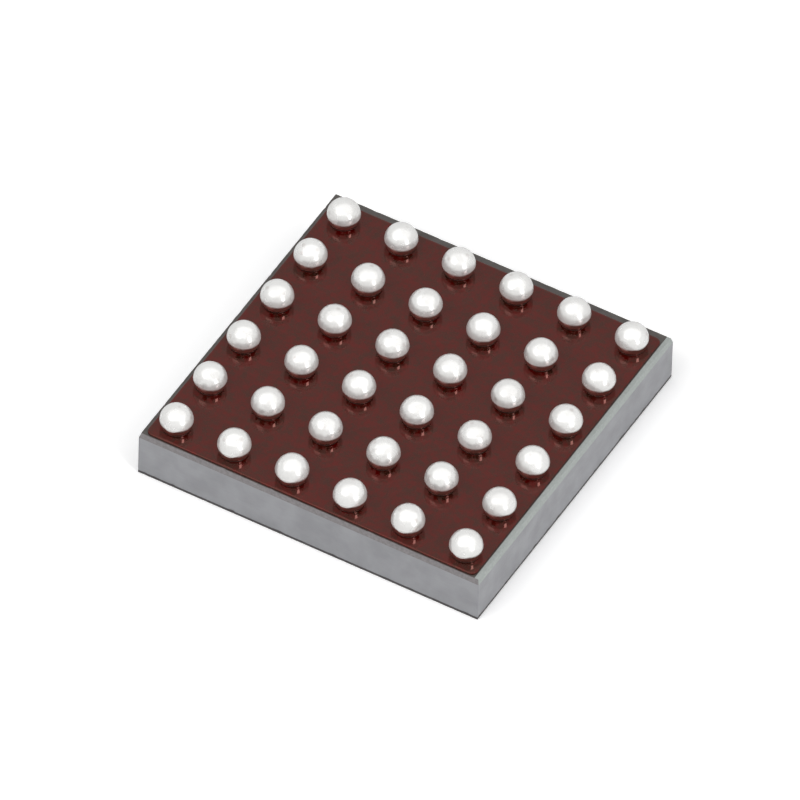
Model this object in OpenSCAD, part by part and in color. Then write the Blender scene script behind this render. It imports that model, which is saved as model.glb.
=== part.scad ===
// Wafer-level ball grid array chip: a square silicon die lying on its back,
// with an even grid of solder balls on its upper, active face.
//
// Frame: the origin is the centre of the ball field, on the plane of the back
// face. +Z runs from the back face to the balls, row A is on the +Y side and
// column 1 on the +X side, as columns count when the balls face the reader.
//
// From the back upwards the pieces are: the back film, the silicon die, the
// bond pads, the lower dielectric film, the redistribution copper, the upper
// dielectric film, the under-bump pads and the solder balls.

/* [Ball field] */
// Distance between the centres of neighbouring balls
ball_pitch = 0.5; // [0.46:0.02:0.8]
// Balls along each side of the square field, an even number
balls_per_side = 6; // [4:2:8]
// Widest diameter of a melted solder ball
ball_d = 0.26; // [0.24:0.01:0.32]

/* [Silicon die] */
// From the centre of an outer ball to the sawn side of the die
edge_margin = 0.2175; // [0.19:0.0025:0.4]
// Thickness of the ground silicon
die_t = 0.395; // [0.2:0.005:0.7]
// Distance that the saw lines lie off the ball field towards +X
saw_offset_x = 0.005; // [-0.02:0.005:0.02]
// Distance that the saw lines lie off the ball field towards +Y
saw_offset_y = 0.025; // [-0.025:0.005:0.025]
// Width of the bevel that the first saw pass leaves along the upper edges
bevel_w = 0.012; // [0.005:0.001:0.02]
// Depth of that bevel
bevel_depth = 0.045; // [0.01:0.005:0.1]

/* [Back film] */
// Thickness of the cured protective film under the die
back_film_t = 0.025; // [0.015:0.005:0.06]

/* [Dielectric films] */
// Mean width of bare silicon between the films and the sawn side
street_w = 0.0475; // [0.045:0.0025:0.06]
// Corner radius of both films
film_corner_r = 0.05; // [0.02:0.01:0.1]
// Thickness of the lower film, between the silicon and the copper
lower_film_t = 0.007; // [0.005:0.001:0.015]
// Thickness of the upper film above the copper
cover_t = 0.006; // [0.004:0.001:0.015]
// Diameter of the opening in the upper film under each ball
opening_d = 0.17; // [0.12:0.01:0.19]

/* [Bond pads] */
// Side of a square aluminium bond pad on the die
bond_pad_side = 0.05; // [0.04:0.002:0.056]
// Thickness of a bond pad
bond_pad_t = 0.002; // [0.001:0.0005:0.004]
// From the outer line of balls out to the line of bond pads
bond_line_offset = 0.075; // [0.07:0.005:0.09]

/* [Redistribution copper] */
// Thickness of the plated copper
copper_t = 0.004; // [0.003:0.001:0.01]
// Diameter of the round land under each ball
land_d = 0.23; // [0.2:0.01:0.24]
// Width of a trace
trace_w = 0.025; // [0.015:0.005:0.04]
// From the rim of a land to the middle of the nearest passing trace
trace_clearance = 0.05; // [0.04:0.005:0.055]
// Diameter of the copper plug that goes down to a bond pad
via_d = 0.025; // [0.015:0.005:0.03]
// Width of the ring of copper round the top of that plug
via_rim = 0.01; // [0.005:0.001:0.012]

/* [Under-bump pads] */
// Diameter of the pad that the ball wets
under_bump_d = 0.22; // [0.2:0.002:0.23]
// Thickness of that pad above the upper film
under_bump_t = 0.006; // [0.003:0.001:0.012]

/* [Hidden] */
$fn = 48;

// Plan sizes
field_w = (balls_per_side - 1) * ball_pitch;
die_w = field_w + 2 * edge_margin;
film_w = die_w - 2 * street_w;
saw_offset = [saw_offset_x, saw_offset_y];

// Levels above the back face
die_z = back_film_t;
lower_film_z = die_z + die_t;
copper_z = lower_film_z + lower_film_t;
film_top_z = copper_z + copper_t + cover_t;
ball_seat_z = film_top_z + under_bump_t;

// A ball is a sphere cut off flat where it has wetted the under-bump pad
ball_r = ball_d / 2;
seat_r = under_bump_d / 2;
ball_centre_z = ball_seat_z + sqrt(ball_r * ball_r - seat_r * seat_r);

// The field is four equal quarters, each a quarter turn from the next. In a
// quarter each ball of a row has its own lane to the bond pads at the edge, and
// the lanes share the gap between two rows of lands evenly.
QUARTER_SIDES = ["right", "back", "left", "front"];
quarter_n = balls_per_side / 2;
first_lane = land_d / 2 + trace_clearance;
lane_pitch = (ball_pitch - 2 * first_lane) / (quarter_n - 1);
bond_line_x = field_w / 2 + bond_line_offset;

function letter(row) = chr(ord("a") + row);
function ball_x(column) = field_w / 2 - column * ball_pitch;
function ball_y(row) = field_w / 2 - row * ball_pitch;
function ball_name(row, column) = str("ball_", letter(row), column + 1);
function under_bump_name(row) = str("under_bumps_", letter(row));
function bond_pads_name(quarter) = str("bond_pads_", QUARTER_SIDES[quarter]);
function traces_name(quarter) = str("traces_", QUARTER_SIDES[quarter]);

// Lane 0 belongs to the outermost ball of a row
function land_at(lane, row) = [ball_x(lane), ball_y(row)];
function lane_y(lane, row) = ball_y(row) - first_lane - lane * lane_pitch;
function bond_at(lane, row) = [bond_line_x, lane_y(lane, row)];
// A trace leaves its land at 45 degrees, or more steeply if the bond pad is near
function elbow_at(lane, row) =
    [min(ball_x(lane) + ball_y(row) - lane_y(lane, row), bond_line_x), lane_y(lane, row)];

ROWS = [0 : balls_per_side - 1];
COLUMNS = [0 : balls_per_side - 1];
QUARTERS = [0 : len(QUARTER_SIDES) - 1];

// Placement helpers

module at_every_ball() {
    for (row = ROWS) for (column = COLUMNS)
        translate([ball_x(column), ball_y(row)]) children();
}

module in_quarter(quarter) {
    rotate([0, 0, 90 * quarter]) children();
}

module at_quarter_bond_pads() {
    for (row = [0 : quarter_n - 1]) for (lane = [0 : quarter_n - 1])
        translate(bond_at(lane, row)) children();
}

module at_every_bond_pad() {
    for (quarter = QUARTERS) in_quarter(quarter) at_quarter_bond_pads() children();
}

// Plan outlines

module film_outline() {
    inner_w = film_w - 2 * film_corner_r;
    square([film_w, inner_w], center = true);
    square([inner_w, film_w], center = true);
    for (x = [-1, 1]) for (y = [-1, 1])
        translate([x, y] * inner_w / 2) circle(film_corner_r);
}

// A straight strip of copper between two points
module strip(from, to) {
    run = to - from;
    translate(from) rotate(atan2(run[1], run[0]))
        translate([0, -trace_w / 2]) square([norm(run), trace_w]);
}

module trace_outline(lane, row) {
    land = land_at(lane, row);
    elbow = elbow_at(lane, row);
    bond = bond_at(lane, row);
    translate(land) circle(d = land_d);
    strip(land, elbow);
    if (elbow != bond) {
        translate(elbow) circle(d = trace_w);
        strip(elbow, bond);
    }
    translate(bond) circle(d = via_d + 2 * via_rim);
}

module quarter_traces_outline() {
    for (row = [0 : quarter_n - 1]) for (lane = [0 : quarter_n - 1]) trace_outline(lane, row);
}

// Sub-parts, from the back face upwards

module back_film() {
    color([0.16, 0.15, 0.16]) translate(concat(saw_offset, 0))
        linear_extrude(back_film_t) square(die_w, center = true);
}

// Half of the bevel is cut by each of two crossed extrusions of one section
module die_section() {
    half_w = die_w / 2;
    polygon([
        [-half_w, 0], [half_w, 0],
        [half_w, die_t - bevel_depth], [half_w - bevel_w, die_t],
        [bevel_w - half_w, die_t], [-half_w, die_t - bevel_depth]
    ]);
}

module die() {
    color([0.6, 0.6, 0.61]) translate(concat(saw_offset, die_z)) intersection() {
        for_depth() die_section();
        rotate([0, 0, 90]) for_depth() die_section();
    }
}

// Stands a section upright and gives it the depth of the die
module for_depth() {
    rotate([90, 0, 0]) linear_extrude(die_w, center = true) children();
}

module bond_pads(quarter) {
    color([0.82, 0.83, 0.85]) translate([0, 0, lower_film_z]) in_quarter(quarter)
        at_quarter_bond_pads() linear_extrude(bond_pad_t) square(bond_pad_side, center = true);
}

module lower_film() {
    color([0.45, 0.26, 0.2]) translate([0, 0, lower_film_z]) difference() {
        linear_extrude(lower_film_t) film_outline();
        at_every_bond_pad() {
            linear_extrude(bond_pad_t) square(bond_pad_side, center = true);
            cylinder(h = lower_film_t, d = via_d);
        }
    }
}

module traces(quarter) {
    color([0.8, 0.45, 0.28]) in_quarter(quarter) {
        translate([0, 0, copper_z]) linear_extrude(copper_t) quarter_traces_outline();
        translate([0, 0, lower_film_z + bond_pad_t]) at_quarter_bond_pads()
            cylinder(h = lower_film_t - bond_pad_t, d = via_d);
    }
}

module upper_film() {
    color([0.36, 0.23, 0.21]) translate([0, 0, copper_z]) difference() {
        linear_extrude(copper_t + cover_t) film_outline();
        linear_extrude(copper_t)
            for (quarter = QUARTERS) in_quarter(quarter) quarter_traces_outline();
        at_every_ball() cylinder(h = copper_t + cover_t, d = opening_d);
    }
}

module under_bumps(row) {
    color([0.75, 0.5, 0.35]) for (column = COLUMNS)
        translate([ball_x(column), ball_y(row), copper_z + copper_t]) {
            cylinder(h = cover_t, d = opening_d);
            translate([0, 0, cover_t]) cylinder(h = under_bump_t, d = under_bump_d);
        }
}

module ball(row, column) {
    color([0.9, 0.9, 0.88]) translate([ball_x(column), ball_y(row), 0]) difference() {
        translate([0, 0, ball_centre_z]) sphere(ball_r);
        translate([-ball_r, -ball_r, ball_seat_z - ball_d]) cube(ball_d);
    }
}

back_film();
die();
lower_film();
upper_film();
for (quarter = QUARTERS) {
    bond_pads(quarter);
    traces(quarter);
}
for (row = ROWS) {
    under_bumps(row);
    for (column = COLUMNS)
        ball(row, column);
}
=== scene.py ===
# %% [markdown]
# # A ball grid array chip, dressed for a close look
#
# The chip is a square of sawn silicon, 3 mm wide, that lies on its back. Its upper
# face carries a glossy red-brown film and 36 solder balls. The solids come from the
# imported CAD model, which is the fixed frame: every place and size below is measured
# from it. This script adds what the CAD model lacks: true round balls with the skin
# of melted solder, a film that drapes over the copper below it, chipped saw edges,
# a finish for every surface, a floor, light and a camera.
#
# Blender works in metres, and several of its mesh tools stop making sense of edges
# shorter than a thousandth of a millimetre. So each piece is modelled at one unit to
# the millimetre, and is made 1000 times smaller as the last step.

# %% Load the fixed frame
import math

import bmesh
import bpy
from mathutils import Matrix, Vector, noise
from mathutils.bvhtree import BVHTree


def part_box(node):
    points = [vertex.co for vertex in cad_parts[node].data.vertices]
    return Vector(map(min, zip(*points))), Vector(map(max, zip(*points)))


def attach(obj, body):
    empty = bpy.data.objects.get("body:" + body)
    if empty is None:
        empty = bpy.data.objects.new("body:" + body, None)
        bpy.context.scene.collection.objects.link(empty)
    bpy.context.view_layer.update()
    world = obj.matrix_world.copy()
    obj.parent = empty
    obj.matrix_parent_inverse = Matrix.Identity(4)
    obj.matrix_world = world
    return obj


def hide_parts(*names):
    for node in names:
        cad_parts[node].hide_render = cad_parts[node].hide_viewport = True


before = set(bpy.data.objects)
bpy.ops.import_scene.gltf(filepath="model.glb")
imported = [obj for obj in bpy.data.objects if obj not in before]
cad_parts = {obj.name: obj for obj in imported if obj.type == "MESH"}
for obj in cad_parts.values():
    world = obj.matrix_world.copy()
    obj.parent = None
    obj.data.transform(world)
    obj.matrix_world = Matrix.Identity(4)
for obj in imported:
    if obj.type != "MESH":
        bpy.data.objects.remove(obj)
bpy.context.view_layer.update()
MM = 0.001

# %% [markdown]
# ## Measure what the looks depend on
#
# A box round a CAD node gives its lowest and highest corner. The centre of a ball's
# box is not the centre of its sphere, because the ball is cut flat where it has wetted
# its pad. Its width gives the radius, and the top of the box less that radius gives
# the height of the centre.

# %% Ball sizes and places
def box_mm(node):
    low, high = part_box(node)
    return Vector(low) / MM, Vector(high) / MM


def nodes_called(start):
    return sorted(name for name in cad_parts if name.startswith(start))


BALLS = nodes_called("ball_")
first_low, first_high = box_mm(BALLS[0])
ball_radius = round((first_high.x - first_low.x) / 2, 3)
ball_seat = first_low.z
ball_centre_z = first_high.z - ball_radius
print(len(BALLS), "balls, radius", ball_radius, "mm, seat at", round(ball_seat, 4), "mm")


def ball_centre(name):
    low, high = box_mm(name)
    return Vector(((low.x + high.x) / 2, (low.y + high.y) / 2, ball_centre_z))


# %% [markdown]
# ## Camera
#
# So small a thing is best looked at from far away through a very long lens, because its
# parallel edges then stay parallel. Here a 1200 mm lens at 200 mm frames 6 mm. The
# camera is turned a little about its own line of sight.

# %% Camera
AZIMUTH, ELEVATION, ROLL = 28.6, 46.35, 1.9
FRAME_WIDTH = 6.0
AIM_RIGHT, AIM_UP = -0.0325, -0.095
LENS, SENSOR = 1200, 36


def direction(azimuth, elevation):
    """The way from the chip to a place given by compass and height, in degrees."""
    turn, lift = math.radians(azimuth), math.radians(elevation)
    return Vector((math.sin(turn) * math.cos(lift), -math.cos(turn) * math.cos(lift), math.sin(lift)))


backwards = direction(AZIMUTH, ELEVATION)
stance = (-backwards).to_track_quat("-Z", "Y").to_matrix().to_4x4()
stance = stance @ stance.__class__.Rotation(math.radians(ROLL), 4, "Z")
camera = bpy.data.objects.new("camera", bpy.data.cameras.new("camera"))
camera.data.lens, camera.data.sensor_width = LENS, SENSOR
camera.data.clip_start, camera.data.clip_end = 0.01, 1.0
face_centre = Vector((0, 0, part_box("die")[1][2]))
aim = face_centre + stance.to_3x3() @ Vector((AIM_RIGHT, AIM_UP, 0)) * MM
distance = FRAME_WIDTH * MM * LENS / SENSOR
stance.translation = aim + backwards * distance
camera.matrix_world = stance
bpy.context.scene.collection.objects.link(camera)
bpy.context.scene.camera = camera
print("camera distance, mm:", round(distance / MM, 1))

# %% [markdown]
# ## Helpers for finishes
#
# All finishes are built from nodes. Each reads the piece's own Object coordinates,
# stretched so that one unit is one millimetre. A noise of scale 20 then has features
# of about a twentieth of a millimetre, whatever the piece.

# %% Node helpers
class Finish:
    """A material under construction, with one shader and a place in millimetres."""

    def __init__(self, name, **shader_values):
        self.material = bpy.data.materials.new(name)
        self.material.use_nodes = True
        self.tree = self.material.node_tree
        self.shader = self.tree.nodes["Principled BSDF"]
        for socket, value in shader_values.items():
            self.shader.inputs[socket.replace("_", " ")].default_value = value
        coordinates = self.tree.nodes.new("ShaderNodeTexCoord")
        self.place = self.stretched(coordinates.outputs["Object"], (1 / MM, 1 / MM, 1 / MM))

    def stretched(self, vector, scale):
        mapping = self.tree.nodes.new("ShaderNodeMapping")
        mapping.inputs["Scale"].default_value = scale
        self.tree.links.new(vector, mapping.inputs["Vector"])
        return mapping.outputs["Vector"]

    def noise(self, scale, detail=3, place=None):
        node = self.tree.nodes.new("ShaderNodeTexNoise")
        node.inputs["Scale"].default_value = scale
        node.inputs["Detail"].default_value = detail
        self.tree.links.new(place or self.place, node.inputs["Vector"])
        return node.outputs["Fac"]

    def cells(self, scale, output="Color"):
        node = self.tree.nodes.new("ShaderNodeTexVoronoi")
        node.inputs["Scale"].default_value = scale
        self.tree.links.new(self.place, node.inputs["Vector"])
        return node.outputs[output]

    def height(self):
        """Millimetres above the back face of the chip."""
        node = self.tree.nodes.new("ShaderNodeSeparateXYZ")
        self.tree.links.new(self.place, node.inputs["Vector"])
        return node.outputs["Z"]

    def graded(self, value, low, high, start=0.3, end=0.7):
        """A number that runs from low to high as value runs from start to end.

        Each of the four limits is either a plain number or the output of a node."""
        node = self.tree.nodes.new("ShaderNodeMapRange")
        self.tree.links.new(value, node.inputs["Value"])
        for socket, limit in zip(("From Min", "From Max", "To Min", "To Max"), (start, end, low, high)):
            if isinstance(limit, bpy.types.NodeSocket):
                self.tree.links.new(limit, node.inputs[socket])
            else:
                node.inputs[socket].default_value = limit
        return node.outputs["Result"]

    def tinted(self, value, dark, light, start=0.3, end=0.7):
        """A colour that runs from dark to light as value runs from start to end."""
        ramp = self.tree.nodes.new("ShaderNodeValToRGB")
        for stop, at, colour in zip(ramp.color_ramp.elements, (start, end), (dark, light)):
            stop.position, stop.color = at, (*colour, 1)
        self.tree.links.new(value, ramp.inputs["Fac"])
        return ramp.outputs["Color"]

    def relief(self, value, height_mm):
        """A bump of the given height that follows the value."""
        bump = self.tree.nodes.new("ShaderNodeBump")
        bump.inputs["Distance"].default_value = height_mm * MM
        self.tree.links.new(value, bump.inputs["Height"])
        return bump.outputs["Normal"]

    def feed(self, socket, output):
        self.tree.links.new(output, self.shader.inputs[socket])


# %% [markdown]
# ## Helpers for pieces
#
# A new piece rides on the chip's one body, stands for the CAD nodes that it replaces,
# and names the material slot that its finish belongs to. A CAD node whose shape is
# right already keeps it and only gets a new finish.

# %% Piece helpers
def add_piece(name, mesh_tool, finishes, replaced):
    """Turns a bmesh in millimetres into a piece of the object, in metres."""
    bmesh.ops.scale(mesh_tool, vec=(MM, MM, MM), verts=mesh_tool.verts)
    bmesh.ops.recalc_face_normals(mesh_tool, faces=mesh_tool.faces)
    for face in mesh_tool.faces:
        face.smooth = True
    mesh = bpy.data.meshes.new(name)
    mesh_tool.to_mesh(mesh)
    mesh_tool.free()
    for finish in finishes:
        mesh.materials.append(finish.material)
    piece = bpy.data.objects.new(name, mesh)
    bpy.context.scene.collection.objects.link(piece)
    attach(piece, "root")
    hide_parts(*replaced)
    return piece


def refinish(nodes, finish):
    """Gives CAD nodes that keep their shape a new finish."""
    for node in nodes:
        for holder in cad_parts[node].material_slots:
            holder.material = finish.material


def made(geometry, kind):
    """The vertices, edges or faces among what an operator returns."""
    return [part for part in geometry if isinstance(part, kind)]


# %% [markdown]
# ## Floor
#
# The chip lies on plain white paper. The floor is a wide disc that takes the shadow.
# Paper this white comes out brighter than the lamps alone would make it, so a second
# layer of white is added for the camera's rays only. It lights nothing on the chip.

# %% Floor
FLOOR_RADIUS = 0.09
PAPER_WHITE = (0.97, 0.97, 0.97, 1)
EXTRA_WHITE = 0.33

floor_tool = bmesh.new()
bmesh.ops.create_circle(floor_tool, cap_ends=True, segments=96, radius=FLOOR_RADIUS)
floor_mesh = bpy.data.meshes.new("floor")
floor_tool.to_mesh(floor_mesh)
floor_tool.free()
floor = bpy.data.objects.new("floor", floor_mesh)
bpy.context.scene.collection.objects.link(floor)

paper = Finish("floor_white", Base_Color=PAPER_WHITE, Roughness=0.9, IOR=1.2)
extra = paper.tree.nodes.new("ShaderNodeBsdfDiffuse")
rays = paper.tree.nodes.new("ShaderNodeLightPath")
only_seen = paper.graded(rays.outputs["Is Camera Ray"], 0, EXTRA_WHITE, 0, 1)
paper.tree.links.new(only_seen, extra.inputs["Color"])
both = paper.tree.nodes.new("ShaderNodeAddShader")
paper.tree.links.new(paper.shader.outputs[0], both.inputs[0])
paper.tree.links.new(extra.outputs[0], both.inputs[1])
paper.tree.links.new(both.outputs[0], paper.tree.nodes["Material Output"].inputs["Surface"])
floor_mesh.materials.append(paper.material)
print("floor radius, mm:", FLOOR_RADIUS / MM)

# %% [markdown]
# ## White room
#
# The world lights the chip evenly from all round. It is plain white to the camera and
# in reflections. As a light it is much dimmer, so that the lamps can shape the shadows.

# %% World
SKY_STRENGTH = 0.3

world = bpy.data.worlds.new("white_room")
bpy.context.scene.world = world
world.use_nodes = True
sky = world.node_tree
background = sky.nodes["Background"]
background.inputs["Color"].default_value = (1, 1, 1, 1)
rays = sky.nodes.new("ShaderNodeLightPath")
seen = rays.outputs["Is Camera Ray"]
for other in ("Is Glossy Ray", "Is Transmission Ray"):
    either = sky.nodes.new("ShaderNodeMath")
    either.operation = "MAXIMUM"
    sky.links.new(seen, either.inputs[0])
    sky.links.new(rays.outputs[other], either.inputs[1])
    seen = either.outputs[0]
strength = sky.nodes.new("ShaderNodeMapRange")
strength.inputs["To Min"].default_value = SKY_STRENGTH
strength.inputs["To Max"].default_value = 1.0
sky.links.new(seen, strength.inputs["Value"])
sky.links.new(strength.outputs["Result"], background.inputs["Strength"])
print("strength of the room as a light:", SKY_STRENGTH)

# %% [markdown]
# ## Lamps
#
# A wide soft box hangs over the chip and gives every ball its large highlight. A weaker
# lamp on the left of the camera gives the shadow its side. A low upright one on the right
# lights the right-hand wall of the die. It shows as two glints under every ball, where
# the ball is mirrored in the film: once straight, and once by way of the film.

# %% Lamps
LAMP_DISTANCE = 0.09


def add_lamp(name, azimuth, elevation, width, height, power):
    """A soft lamp that looks at the chip, placed by compass and height."""
    towards = direction(azimuth, elevation)
    lamp = bpy.data.objects.new(name, bpy.data.lights.new(name, "AREA"))
    lamp.data.shape, lamp.data.size, lamp.data.size_y = "RECTANGLE", width, height
    lamp.data.energy = power
    lamp.location = towards * LAMP_DISTANCE
    lamp.rotation_mode = "QUATERNION"
    lamp.rotation_quaternion = towards.to_track_quat("Z", "Y")
    bpy.context.scene.collection.objects.link(lamp)
    print(name, "shines from", azimuth, "degrees round and", elevation, "up")


add_lamp("soft_box", azimuth=28, elevation=78, width=0.31, height=0.16, power=0.106)
add_lamp("left_lamp", azimuth=-25, elevation=50, width=0.05, height=0.05, power=0.014)
add_lamp("low_lamp", azimuth=70, elevation=17, width=0.022, height=0.042, power=0.022)

# %% [markdown]
# ## Solder balls
#
# A melted ball pulls itself into a sphere and freezes from its pad upwards. Below its
# widest line the skin stays smooth and mirrors the dark film, and its colour is painted
# darker there as well: painted shade on the underside. Above it the last of the melt
# freezes into pale, frosted crystals. So the finish is read from the height, and the line
# between the two wanders up and down a little from place to place. Cells of a Voronoi
# pattern stand for the crystals, each with its own brightness and gloss, and the middles
# of some larger cells are small dull pits.

# %% Solder finish
solder = Finish("melted_tin", Base_Color=(0.88, 0.88, 0.86, 1), Metallic=0.5, Roughness=0.3)
wandering = solder.graded(solder.noise(10), ball_centre_z - 0.018, ball_centre_z - 0.002)
frost_and_painted_shade = solder.graded(solder.height(), 0, 1, wandering, ball_centre_z + 0.008)
crystals = solder.cells(15)
crystal_tone = solder.graded(crystals, 0.84, 1, 0.1, 0.9)
solder_tone_and_painted_shade = solder.graded(solder.cells(9, "Distance"), 0.42, crystal_tone, 0.08, 0.2)
# Below the widest line the tone falls to the darkest colour: painted shade on the underside.
solder_tone_and_painted_shade = solder.graded(frost_and_painted_shade, 0, solder_tone_and_painted_shade, 0, 1)
solder.feed("Base Color", solder.tinted(solder_tone_and_painted_shade, (0.57, 0.52, 0.5), (0.84, 0.84, 0.825), 0, 1))
gloss = solder.graded(solder.noise(14, 3), 0.16, 0.3)
solder.feed("Roughness", solder.graded(frost_and_painted_shade, 0.06, gloss, 0, 1))
solder.feed("Metallic", solder.graded(frost_and_painted_shade, 1, solder.graded(crystals, 0.22, 0.45, 0.1, 0.9), 0, 1))
solder.feed("Normal", solder.relief(solder.noise(30, 3), 0.0004))
print("nodes in the solder's finish:", len(solder.tree.nodes))

# %% [markdown]
# An icosphere has even triangles and no poles, so the reflections run clean over it.
# Each ball gets its own slight unevenness, always inwards, and is then cut flat where
# it sits on its pad. The cut is filled, so that the ball stays a closed solid.

# %% Solder balls
UNEVENNESS = 0.0014
DENTS_PER_MM = 12

for index, name in enumerate(BALLS):
    ball_tool = bmesh.new()
    bmesh.ops.create_icosphere(ball_tool, subdivisions=5, radius=ball_radius)
    drift = Vector((index * 7.3, index * 3.1, index * 1.7))
    for corner in ball_tool.verts:
        dent = noise.noise(corner.co * DENTS_PER_MM + drift) - 1
        corner.co += corner.co.normalized() * dent * UNEVENNESS / 2
    cut = bmesh.ops.bisect_plane(
        ball_tool, geom=ball_tool.verts[:] + ball_tool.edges[:] + ball_tool.faces[:],
        plane_co=(0, 0, ball_seat - ball_centre_z), plane_no=(0, 0, -1), clear_outer=True,
    )
    rim = made(cut["geom_cut"], bmesh.types.BMEdge)
    bmesh.ops.holes_fill(ball_tool, edges=rim)
    for edge in rim:
        edge.smooth = False
    bmesh.ops.translate(ball_tool, verts=ball_tool.verts, vec=ball_centre(name))
    add_piece("solder_" + name, ball_tool, [solder], [name])
print("balls made:", len(BALLS))

# %% [markdown]
# ## Under-bump pads
#
# Under each ball sits a pad of plated metal: a plug that fills the opening in the film,
# and a round collar on top of it that the solder wets. It could be cut from cylinders,
# but its collar has a soft edge, so half its section is drawn and spun round once. The
# metal is dull, and its near-black colour is painted shade for the narrow gap under the ball.

# %% Under-bump pads
OPENING_RADIUS = 0.085
COLLAR_EDGE = 0.0015
PAD_STEPS = 48

plug_low, plug_high = box_mm("under_bumps_a")
collar_radius = (plug_high.y - plug_low.y) / 2
film_top = box_mm("upper_film")[1].z
PAD_SECTION = (
    (0, plug_low.z), (OPENING_RADIUS, plug_low.z), (OPENING_RADIUS, film_top),
    (collar_radius - COLLAR_EDGE, film_top), (collar_radius, film_top + COLLAR_EDGE),
    (collar_radius, ball_seat - COLLAR_EDGE), (collar_radius - COLLAR_EDGE, ball_seat), (0, ball_seat),
)

pad_metal = Finish("wetted_pad", Metallic=0.6, Roughness=0.5)
# The pad's near-black colour is painted shade under the ball; the noise only mottles it.
tarnish_and_painted_shade = pad_metal.tinted(pad_metal.noise(40), (0.045, 0.02, 0.015), (0.078, 0.036, 0.028))
pad_metal.feed("Base Color", tarnish_and_painted_shade)


def spun_pad(pads_tool, centre):
    """Spins the half section of one pad round the axis of its ball."""
    section = [pads_tool.verts.new((centre.x + radius, centre.y, height)) for radius, height in PAD_SECTION]
    outline = [pads_tool.edges.new(pair) for pair in zip(section, section[1:])]
    bmesh.ops.spin(
        pads_tool, geom=section + outline, cent=(centre.x, centre.y, 0), axis=(0, 0, 1),
        angle=2 * math.pi, steps=PAD_STEPS, use_merge=True, use_duplicate=False,
    )


for row in nodes_called("under_bumps_"):
    pads_tool = bmesh.new()
    for name in nodes_called("ball_" + row[-1]):
        spun_pad(pads_tool, ball_centre(name))
    bmesh.ops.remove_doubles(pads_tool, verts=pads_tool.verts, dist=1e-5)
    add_piece("wetted_" + row, pads_tool, [pad_metal], [row])
print("pads made, collar radius", round(collar_radius, 4), "mm")

# %% [markdown]
# ## Red-brown film
#
# The film is a resin, poured on while the wafer spins and then baked. It is glossy and
# nearly flat, but it still rises a little over the copper that it covers, and its edge
# is rounded. A flat solid cannot show that, so the film is a fine grid of faces. First
# comes its finish, a resin with a hard smooth surface. Its colour drifts between brown
# and red in soft clouds, and a finer mottle leans to one or the other inside each cloud.

# %% Film finish
film = Finish("red_brown_film", Roughness=0.055, IOR=1.6, Specular_Tint=(1, 0.38, 0.32, 1))
clouds = film.noise(9, 5)
cloud_low = film.graded(clouds, 0, 0.45, 0.34, 0.66)
cloud_high = film.graded(clouds, 0.55, 1, 0.34, 0.66)
resin_tone = film.graded(film.noise(24, 2), cloud_low, cloud_high, 0.4, 0.6)
film.feed("Base Color", film.tinted(resin_tone, (0.02, 0.0088, 0.0048), (0.068, 0.0002, 0.0001), 0, 1))
film.feed("Normal", film.relief(film.noise(9, 3), 0.0002))
print("nodes in the film's finish:", len(film.tree.nodes))

# %% [markdown]
# The grid starts square. Faces inside an opening are removed, and the corners of the
# ones that are left are pulled onto the circle. Each corner square of the grid is then
# pulled into a quarter disc, which keeps the mesh even right up to the rounded corner.

# %% Grid with openings and round corners
FILM_STEPS = 236
FILM_CORNER = 0.05
SHOULDER = 0.004
SNAP_REACH = 1.3

film_low, film_high = box_mm("upper_film")
film_half = film_high.x
flat_half = film_half - SHOULDER
film_tool = bmesh.new()
bmesh.ops.create_grid(film_tool, x_segments=FILM_STEPS, y_segments=FILM_STEPS, size=flat_half)
centres = [ball_centre(name).xy for name in BALLS]


def nearest_ball(point):
    return min(centres, key=lambda centre: (centre - point).length_squared)


holed = [
    face for face in film_tool.faces
    if (face.calc_center_median().xy - nearest_ball(face.calc_center_median().xy)).length < OPENING_RADIUS
]
bmesh.ops.delete(film_tool, geom=holed, context="FACES")
for corner in film_tool.verts:
    centre = nearest_ball(corner.co.xy)
    if corner.is_boundary and (corner.co.xy - centre).length < SNAP_REACH * OPENING_RADIUS:
        corner.co.xy = centre + (corner.co.xy - centre).normalized() * OPENING_RADIUS
print("faces in the film's grid:", len(film_tool.faces))


def rounded(offset):
    """Pulls a corner square into a quarter disc of the same reach."""
    return offset.normalized() * max(offset) if offset.length else offset


bend = flat_half - FILM_CORNER
for corner in film_tool.verts:
    side_x, side_y = math.copysign(1, corner.co.x), math.copysign(1, corner.co.y)
    offset = Vector((abs(corner.co.x) - bend, abs(corner.co.y) - bend))
    if min(offset) > 0:
        offset = rounded(offset)
        corner.co.xy = side_x * (bend + offset.x), side_y * (bend + offset.y)

# %% [markdown]
# A ray dropped from each corner of the grid tells whether copper lies below it. Those
# corners are lifted by half a thousandth of a millimetre, and a few rounds of smoothing
# turn the steps into the soft swell of a poured coat.

# %% Swell over the copper
SWELL = 0.0005
SMOOTHING_ROUNDS = 3

copper_tool = bmesh.new()
for node in nodes_called("traces_"):
    copper_tool.from_mesh(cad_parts[node].data)
bmesh.ops.scale(copper_tool, vec=(1 / MM, 1 / MM, 1 / MM), verts=copper_tool.verts)
copper_tree = BVHTree.FromBMesh(copper_tool)
copper_tool.free()

lifted = 0
for corner in film_tool.verts:
    corner.co.z = film_top - SWELL
    if copper_tree.ray_cast(Vector((corner.co.x, corner.co.y, 1)), Vector((0, 0, -1)))[0]:
        corner.co.z += SWELL
        lifted += 1
inner = [corner for corner in film_tool.verts if not corner.is_boundary]
for round_number in range(SMOOTHING_ROUNDS):
    bmesh.ops.smooth_vert(
        film_tool, verts=inner, factor=0.5, use_axis_x=False, use_axis_y=False, use_axis_z=True,
    )
print("corners over copper:", lifted, "of", len(film_tool.verts))

# %% [markdown]
# The edge is rolled over in two short steps, each a share outwards and a share down,
# and then goes straight down. The walls of the openings go down too, and one flat
# fill, which leaves the openings free, closes the underside.

# %% Edge, openings and underside
EDGE_ROLL = ((0.7, 0.3), (0.3, 1))

grow = film_half / flat_half


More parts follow.
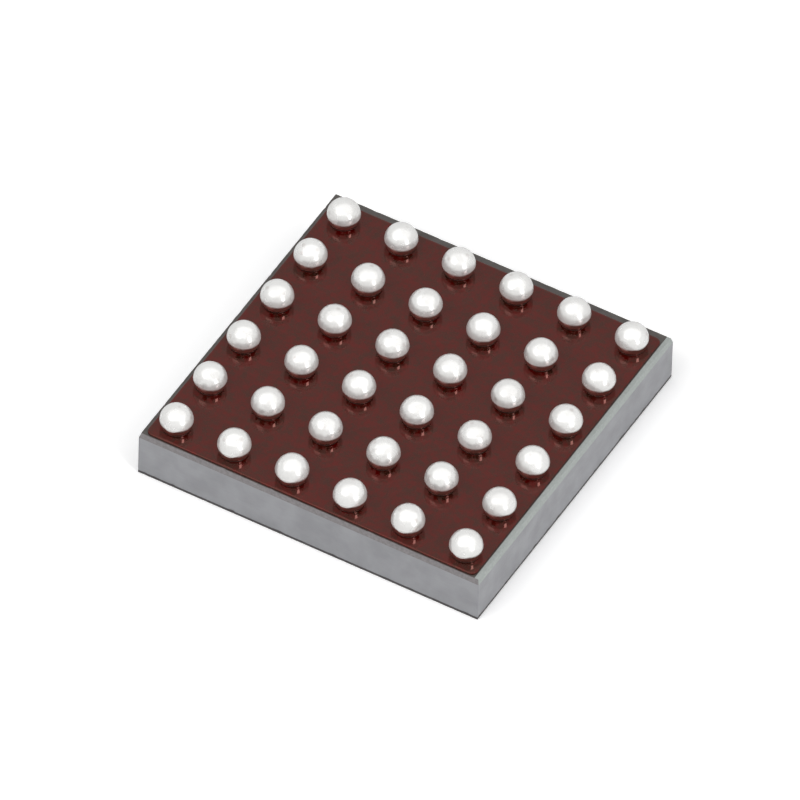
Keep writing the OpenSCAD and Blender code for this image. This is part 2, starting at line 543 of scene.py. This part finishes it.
def film_step(edges, spread, height):
    """Extends the film's edge by one ring of faces and returns the new edge."""
    ring = bmesh.ops.extrude_edge_only(film_tool, edges=edges)["geom"]
    corners = made(ring, bmesh.types.BMVert)
    bmesh.ops.scale(film_tool, vec=(spread, spread, 1), verts=corners)
    for corner in corners:
        corner.co.z = height
    new = set(corners)
    return [edge for edge in made(ring, bmesh.types.BMEdge) if set(edge.verts) <= new]


rims = [edge for edge in film_tool.edges if edge.is_boundary]
outer = [edge for edge in rims if max(map(abs, edge.verts[0].co.xy)) > bend]
openings = [edge for edge in rims if edge not in outer]
for outwards, down in EDGE_ROLL:
    outer = film_step(outer, 1 + (grow - 1) * outwards, film_top - SWELL - SHOULDER * down)
outer = film_step(outer, 1, film_low.z)
for edge in openings:
    edge.smooth = False
openings = film_step(openings, 1, film_low.z)
bmesh.ops.triangle_fill(film_tool, use_beauty=False, edges=outer + openings)
for edge in outer:
    edge.smooth = False
open_edges = sum(not edge.is_manifold for edge in film_tool.edges)
add_piece("draped_film", film_tool, [film], ["upper_film"])
refinish(["lower_film"], film)
print("open edges in the film:", open_edges)

# %% [markdown]
# ## Silicon die
#
# The die is cut out of its wafer by a diamond saw, in two passes. The first, with a
# blunt blade, leaves a fine bevel along the upper edges; the second cuts through. The
# walls are matt, clouded and faintly streaked along the cut. The bevels come in two pairs
# with two colours: the pair on the walls that face along x is lighter, a painted highlight,
# and the other pair is darker, a painted shade. A narrow street of bare silicon with dull
# glass on it runs round the film, and along one side a strip of it takes the lighter
# colour, a painted highlight.

# %% Silicon finishes
sawn = Finish("sawn_silicon", Roughness=0.5, IOR=1.5)
streaks = sawn.noise(1, 4, sawn.stretched(sawn.place, (5, 5, 120)))
shade = sawn.graded(sawn.noise(6, 5), sawn.graded(streaks, 0, 0.2), sawn.graded(streaks, 0.8, 1), 0.34, 0.66)
sawn.feed("Base Color", sawn.tinted(shade, (0.262, 0.264, 0.278), (0.328, 0.33, 0.348), 0, 1))
sawn.feed("Normal", sawn.relief(streaks, 0.0012))

# A lighter and a darker copy of the bevel's finish: painted highlight and painted shade for how the light
# falls on the two pairs of sides.
painted_lit_bevel = Finish("painted_lit_bevel", Roughness=0.3, IOR=1.5)
painted_lit_tone = painted_lit_bevel.tinted(painted_lit_bevel.noise(50), (0.32, 0.35, 0.335), (0.385, 0.415, 0.4))
painted_lit_bevel.feed("Base Color", painted_lit_tone)

painted_shaded_bevel = Finish("painted_shaded_bevel", Roughness=0.45, IOR=1.5)
painted_shaded_tone = painted_shaded_bevel.tinted(painted_shaded_bevel.noise(50), (0.18, 0.165, 0.168), (0.25, 0.235, 0.238))
painted_shaded_bevel.feed("Base Color", painted_shaded_tone)

street = Finish("bare_street", Roughness=0.25, IOR=1.5)
street.feed("Base Color", street.tinted(street.noise(12), (0.05, 0.042, 0.037), (0.085, 0.075, 0.068)))
die_finishes = [sawn, painted_lit_bevel, painted_shaded_bevel, street]
print("finishes of the die:", [finish.material.name for finish in die_finishes])

# %% [markdown]
# A plain block would have edges like a knife. Here the wall is raised ring by ring from
# a square loop of short edges, and only the finished rings are broken back. A chip is a
# place where the side of a ring lies a little deeper. Noise decides where chips fall:
# fine crumbs everywhere, and a larger shell only where a coarser noise runs high.

# %% Helpers for sawn blocks
EDGE_STEP = 0.011
CRUMBS_PER_MM, SHELLS_PER_MM = 70, 17
SHELL_START = 0.25
CRUMB, SHELL = 0.0015, 0.006


def square_loop(block_tool, low, high):
    """A closed loop of short edges round the foot of a block."""
    corners = [(low.x, low.y), (high.x, low.y), (high.x, high.y), (low.x, high.y)]
    corners = [block_tool.verts.new((x, y, low.z)) for x, y in corners]
    loop = [block_tool.edges.new((corners[turn - 1], corners[turn])) for turn in range(4)]
    cuts = round((high.x - low.x) / EDGE_STEP) - 1
    bmesh.ops.subdivide_edges(block_tool, edges=loop, cuts=cuts)
    return block_tool.edges[:]


def chip_depth(point, small, large):
    """How far the edge is broken back here: fine crumbs, and a few larger shells."""
    crumbs = abs(noise.noise(point * CRUMBS_PER_MM)) * small
    shells = max(0, noise.noise(point * SHELLS_PER_MM) - SHELL_START) / (1 - SHELL_START) * large
    return crumbs + shells


def set_in(corners, low, high, inset, small, large):
    """Shrinks a clean ring by the inset, then breaks its sides back by their chips."""
    middle, half = (low + high) / 2, (high.x - low.x) / 2
    for corner in corners:
        depth = chip_depth(corner.co, small, large)
        offset = corner.co - middle
        for axis in (0, 1):
            reach = offset[axis]
            if abs(reach) > half - 1e-5:
                reach -= math.copysign(depth, reach)
            corner.co[axis] = middle[axis] + reach * (1 - inset / half)


def raise_ring(block_tool, edges, height):
    """Raises a wall from a ring of edges; returns the new edges, corners and faces."""
    ring = bmesh.ops.extrude_edge_only(block_tool, edges=edges)["geom"]
    corners = made(ring, bmesh.types.BMVert)
    for corner in corners:
        corner.co.z = height
    new = set(corners)
    edges = [edge for edge in made(ring, bmesh.types.BMEdge) if set(edge.verts) <= new]
    return edges, corners, made(ring, bmesh.types.BMFace)


# %% [markdown]
# The die's wall has a slight wave from the saw blade, a crumbled foot, and a bevel of
# three rings that ends in the chipped upper edge. Each ring goes into a list with its
# inset and its two sizes of chip, and the list is worked off when the solid is closed.

# %% Silicon die
BEVEL_WIDTH, BEVEL_DEPTH = 0.012, 0.045
WALL_RINGS = 10
BEVEL_RINGS = 3
WALL_WAVE = 0.0006
PAINTED_HIGHLIGHT_GAP = 0.008
SAWN, PAINTED_LIT, PAINTED_SHADED, STREET = range(4)

die_low, die_high = box_mm("die")
die_middle = (die_low + die_high) / 2
die_tool = bmesh.new()
edges = square_loop(die_tool, die_low, die_high)
bmesh.ops.edgeloop_fill(die_tool, edges=edges)
for edge in edges:
    edge.smooth = False
rings = [(list(die_tool.verts), 0, CRUMB, SHELL)]
wall_height = die_high.z - BEVEL_DEPTH - die_low.z
for ring_number in range(1, WALL_RINGS + 1):
    height = die_low.z + wall_height * ring_number / WALL_RINGS
    edges, corners, faces = raise_ring(die_tool, edges, height)
    rings.append((corners, 0, WALL_WAVE, 0))
for edge in edges:
    edge.smooth = False
for ring_number in range(1, BEVEL_RINGS + 1):
    share = ring_number / BEVEL_RINGS
    edges, corners, faces = raise_ring(die_tool, edges, die_high.z - BEVEL_DEPTH * (1 - share))
    rings.append((corners, BEVEL_WIDTH * share, CRUMB * share, SHELL * share))
    for face in faces:
        offset = face.calc_center_median() - die_middle
        # Bevels on the walls that face along x take the painted highlight, those that face along y the
        # painted shade.
        face.material_index = PAINTED_LIT if abs(offset.x) > abs(offset.y) else PAINTED_SHADED
for edge in edges:
    edge.smooth = False
top = bmesh.ops.edgeloop_fill(die_tool, edges=edges)["faces"]
top[0].material_index = STREET
for corners, inset, small, large in rings:
    set_in(corners, die_low, die_high, inset, small, large)
print("faces in the die:", len(die_tool.faces))

# %% [markdown]
# A cut along one side divides the flat top, so that the strip beyond the film there can
# take the lighter bevel colour, as a painted highlight.

# %% Painted highlight on a strip of the street
painted_highlight_x = film_half + PAINTED_HIGHLIGHT_GAP
divided = bmesh.ops.bisect_plane(
    die_tool, geom=top + list(top[0].edges) + list(top[0].verts),
    plane_co=(painted_highlight_x, 0, 0), plane_no=(1, 0, 0),
)
# This strip of the street is given the painted highlight colour.
for face in made(divided["geom"], bmesh.types.BMFace):
    if face.calc_center_bounds().x > painted_highlight_x:
        face.material_index = PAINTED_LIT
print("bright strip starts at x, mm:", round(painted_highlight_x, 4))
add_piece("sawn_die", die_tool, die_finishes, ["die"])

# %% [markdown]
# ## Back film
#
# A dark resin tape is baked onto the back of the wafer before sawing, to keep the bare
# silicon from splitting and from light. The saw cuts it flush with the die, a little
# ragged, and its flat face has the fine orange-peel skin of a cured resin.

# %% Back film
back = Finish("cured_back_film", Roughness=0.55, IOR=1.5)
back.feed("Base Color", back.tinted(back.noise(30, 4), (0.04, 0.036, 0.037), (0.062, 0.056, 0.057)))
back.feed("Normal", back.relief(back.noise(45, 3), 0.001))

RAGGED_INSET, RAGGED_DEPTH = 0.001, 0.002
RING_HEIGHTS = (0.12, 0.5, 1)

back_low, back_high = box_mm("back_film")
back_tool = bmesh.new()
edges = square_loop(back_tool, back_low, back_high)
bmesh.ops.edgeloop_fill(back_tool, edges=edges)
rings = [(list(back_tool.verts), RAGGED_INSET, RAGGED_DEPTH, RAGGED_DEPTH)]
for share in RING_HEIGHTS:
    edges, corners, faces = raise_ring(back_tool, edges, back_low.z + (back_high.z - back_low.z) * share)
    rings.append((corners, 0, CRUMB, 0))
bmesh.ops.edgeloop_fill(back_tool, edges=edges)
for corners, inset, small, large in rings:
    set_in(corners, back_low, back_high, inset, small, large)
print("faces in the back film:", len(back_tool.faces))
add_piece("cured_back_film", back_tool, [back], ["back_film"])

# %% [markdown]
# ## Copper and aluminium inside
#
# The copper between the films is plated through a mask and looks like fine matt metal.
# The bond pads on the die are bright aluminium. Neither shows from outside, but both
# are part of the chip and get a true finish.

# %% Hidden metal
copper = Finish("plated_copper", Metallic=1.0)
copper.feed("Base Color", copper.tinted(copper.noise(35), (0.72, 0.36, 0.22), (0.82, 0.45, 0.3)))
copper.feed("Roughness", copper.graded(copper.noise(90), 0.3, 0.45))
refinish(nodes_called("traces_"), copper)

aluminium = Finish("sputtered_aluminium", Metallic=1.0)
aluminium.feed("Base Color", aluminium.tinted(aluminium.noise(80), (0.8, 0.8, 0.82), (0.88, 0.88, 0.9)))
aluminium.feed("Roughness", aluminium.graded(aluminium.noise(120), 0.22, 0.36))
refinish(nodes_called("bond_pads_"), aluminium)
print("CAD nodes with hidden metal:", nodes_called("traces_") + nodes_called("bond_pads_"))

# %% [markdown]
# ## View transform
#
# The colours are shown as they are written, through the Standard view transform.

# %% View transform
bpy.context.scene.view_settings.view_transform = "Standard"
